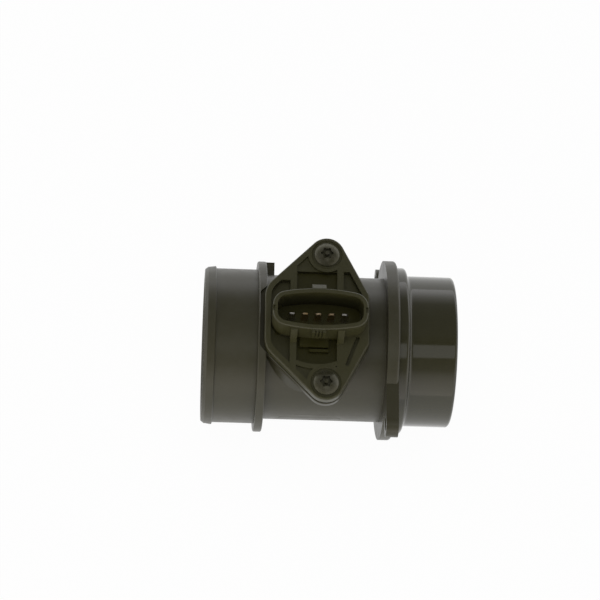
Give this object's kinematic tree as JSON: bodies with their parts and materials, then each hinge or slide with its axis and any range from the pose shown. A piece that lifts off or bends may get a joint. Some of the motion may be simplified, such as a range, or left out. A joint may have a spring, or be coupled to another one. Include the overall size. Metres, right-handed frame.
{
  "type": "mass airflow sensor",
  "caption": "Plug-in air-mass meter: a hose-end measuring tube with an eared flange, a sleeved inlet and a screwed-in sensor with an oval electrical socket.",
  "frame": {"origin": "on the tube's axis, in the sealing face of the two-ear flange, at the middle of its bolt circle", "axes": "+X along the tube towards its inlet, +Z out of the plug-in sensor, +Y from one screw of the sensor to the other"},
  "size_m": [0.1059, 0.0932, 0.0854],
  "materials": {
    "tube_plastic": "black moulded plastic, satin, faintly grained",
    "sleeve_rubber": "smooth black rubber with a wet-looking gloss",
    "sensor_plastic": "black glass-filled plastic, dull satin",
    "grille_plastic": "black moulded plastic",
    "screen_wire": "bright drawn wire",
    "spring_steel": "blued spring steel",
    "seal_rubber": "red-brown silicone rubber, matt",
    "carrier_metal": "bare stamped sheet",
    "board_ceramic": "white fired ceramic, matt",
    "chip_silicon": "polished dark silicon",
    "cover_plastic": "black moulded plastic",
    "thermistor_coating": "dark glassy bead on tinned leads",
    "contact_tin": "tinned brass strip",
    "screw_steel": "black zinc-coated steel"
  },
  "bodies": {
    "root": {"tube_housing": "tube_plastic", "sealing_sleeve": "sleeve_rubber", "flow_straightener": "grille_plastic", "wire_screen": "screen_wire", "retaining_ring": "spring_steel", "sensor_body": "sensor_plastic", "sensor_o_ring": "seal_rubber", "carrier_plate": "carrier_metal", "circuit_substrate": "board_ceramic", "sensor_chip": "chip_silicon", "electronics_cover": "cover_plastic", "channel_cover": "cover_plastic", "air_temperature_sensor": "thermistor_coating", "front_screw": "screw_steel", "rear_screw": "screw_steel", "terminal_1": "contact_tin", "terminal_2": "contact_tin", "terminal_3": "contact_tin", "terminal_4": "contact_tin", "terminal_5": "contact_tin"}
  },
  "joints": []
}
